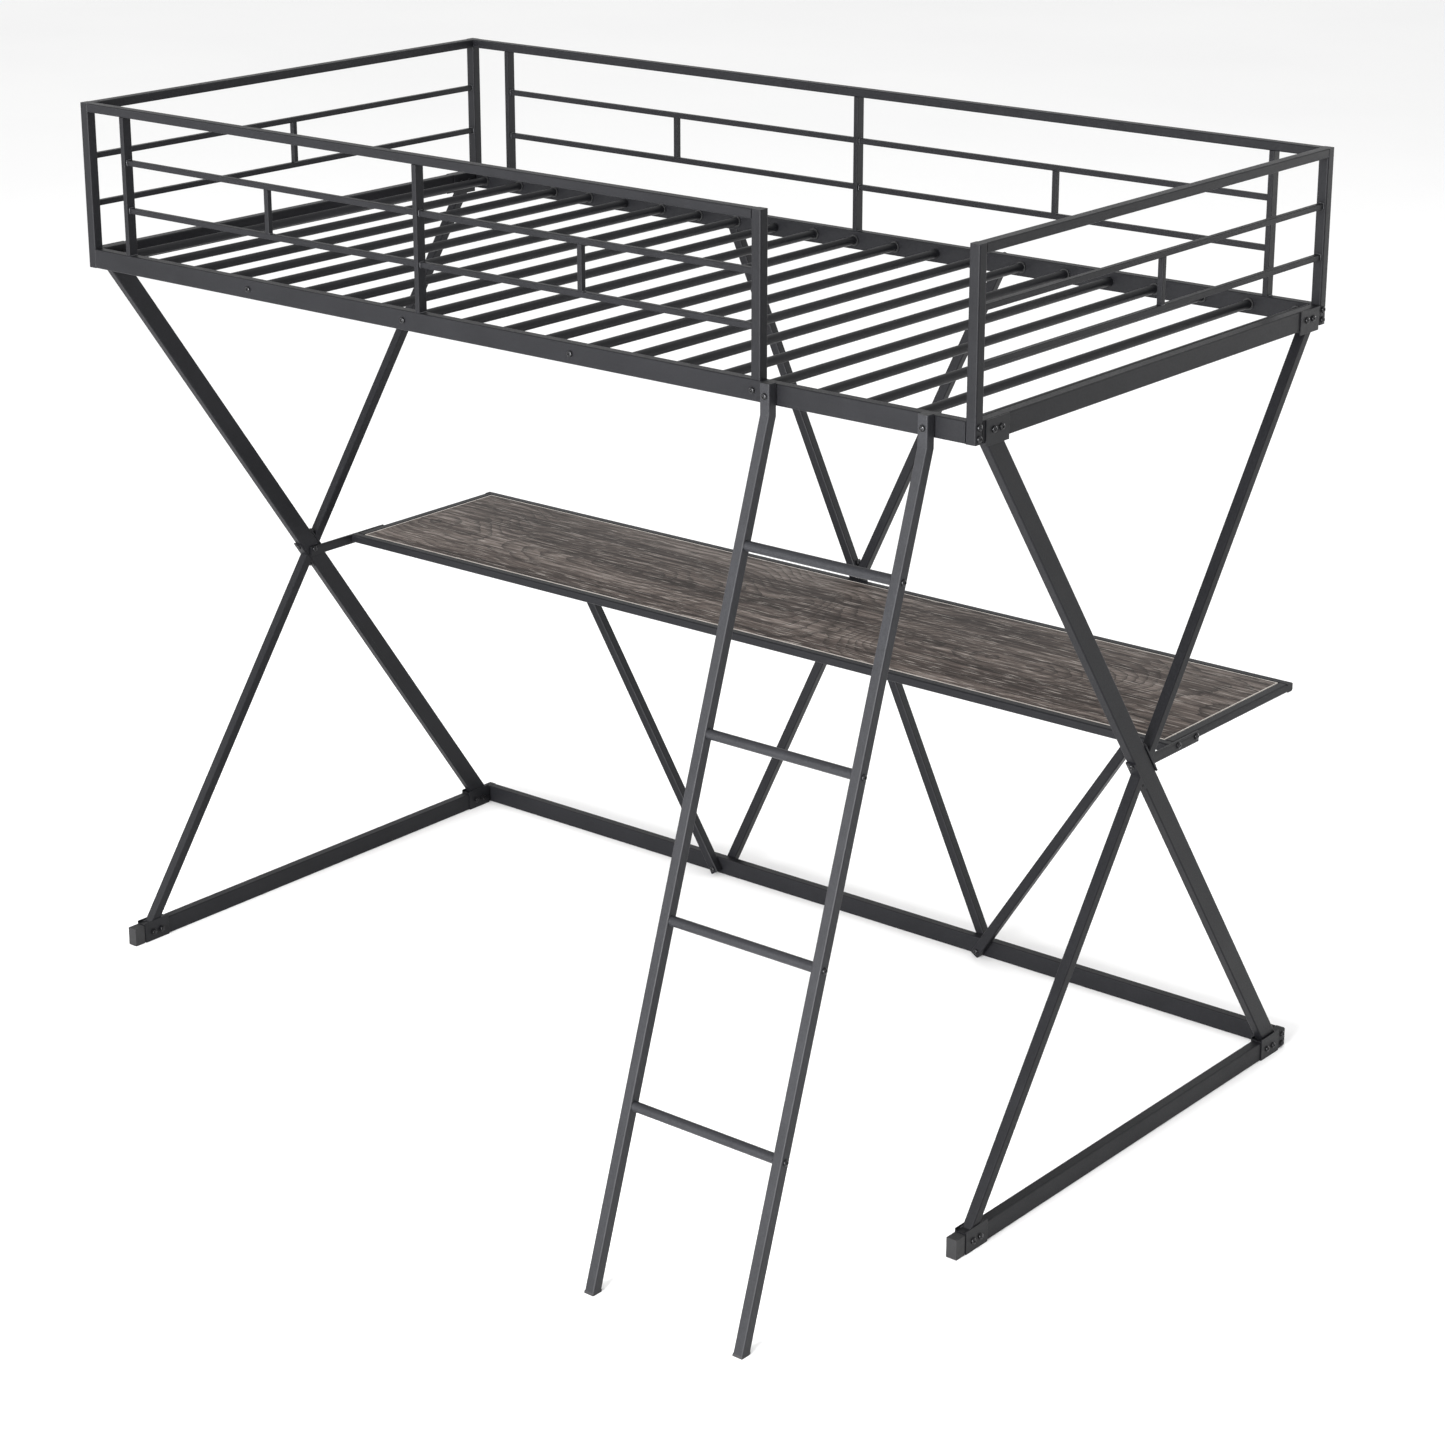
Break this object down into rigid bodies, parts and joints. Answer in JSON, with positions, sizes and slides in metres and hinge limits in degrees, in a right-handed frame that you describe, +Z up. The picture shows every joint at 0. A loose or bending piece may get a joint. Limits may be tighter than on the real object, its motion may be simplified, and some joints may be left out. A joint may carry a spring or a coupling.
{
  "type": "loft bed with desk",
  "caption": "Metal twin loft bed: slatted deck with guard rails on two X-shaped end frames, a sloping front ladder and a long desk board along the back.",
  "frame": {"origin": "on the floor, at the centre of the whole object's bounding box (bed, ladder and back brace)", "axes": "+X along the bed towards the ladder's end, +Y from the ladder side to the back, +Z up"},
  "size_m": [1.9906, 1.5048, 1.65],
  "materials": {
    "frame_metal": "fine-textured charcoal powder coat, satin",
    "ladder_metal": "fine-textured charcoal powder coat, satin",
    "desk_board": "grey-brown weathered oak laminate, satin",
    "plastic_ends": "moulded black plastic, matt",
    "fasteners": "black-oxide steel, glossy"
  },
  "bodies": {
    "root": {"back_brace": "frame_metal", "back_brace_lower_half": "frame_metal", "back_brace_upper_half": "frame_metal", "back_floor_rail": "frame_metal", "back_guard": "frame_metal", "back_side_rail": "frame_metal", "bolted_slats": "frame_metal", "brace_bolts": "fasteners", "corner_bolts": "fasteners", "cross_bolts": "fasteners", "desk_board": "desk_board", "desk_bolts": "fasteners", "desk_frame": "frame_metal", "floor_rail_caps": "plastic_ends", "front_guard": "frame_metal", "front_side_rail": "frame_metal", "ladder_bolts": "fasteners", "ladder_caps": "plastic_ends", "ladder_left_stile": "ladder_metal", "ladder_right_stile": "ladder_metal", "ladder_rung_1": "ladder_metal", "ladder_rung_2": "ladder_metal", "ladder_rung_3": "ladder_metal", "ladder_rung_4": "ladder_metal", "left_desk_arm": "frame_metal", "left_desk_brace": "frame_metal", "left_end_frame": "frame_metal", "left_floor_rail": "frame_metal", "left_lower_half_beam": "frame_metal", "left_through_beam": "frame_metal", "left_upper_half_beam": "frame_metal", "right_desk_arm": "frame_metal", "right_desk_brace": "frame_metal", "right_end_frame": "frame_metal", "right_floor_rail": "frame_metal", "right_lower_half_beam": "frame_metal", "right_through_beam": "frame_metal", "right_upper_half_beam": "frame_metal", "saddle_bolts": "fasteners", "saddle_brackets": "frame_metal", "slat_01": "frame_metal", "slat_02": "frame_metal", "slat_03": "frame_metal", "slat_04": "frame_metal", "slat_06": "frame_metal", "slat_07": "frame_metal", "slat_08": "frame_metal", "slat_10": "frame_metal", "slat_11": "frame_metal", "slat_12": "frame_metal", "slat_14": "frame_metal", "slat_15": "frame_metal", "slat_16": "frame_metal", "slat_18": "frame_metal", "slat_19": "frame_metal", "slat_20": "frame_metal", "slat_21": "frame_metal", "slat_bolts": "fasteners", "slat_sleeves": "plastic_ends", "tube_plugs": "plastic_ends"}
  },
  "joints": []
}
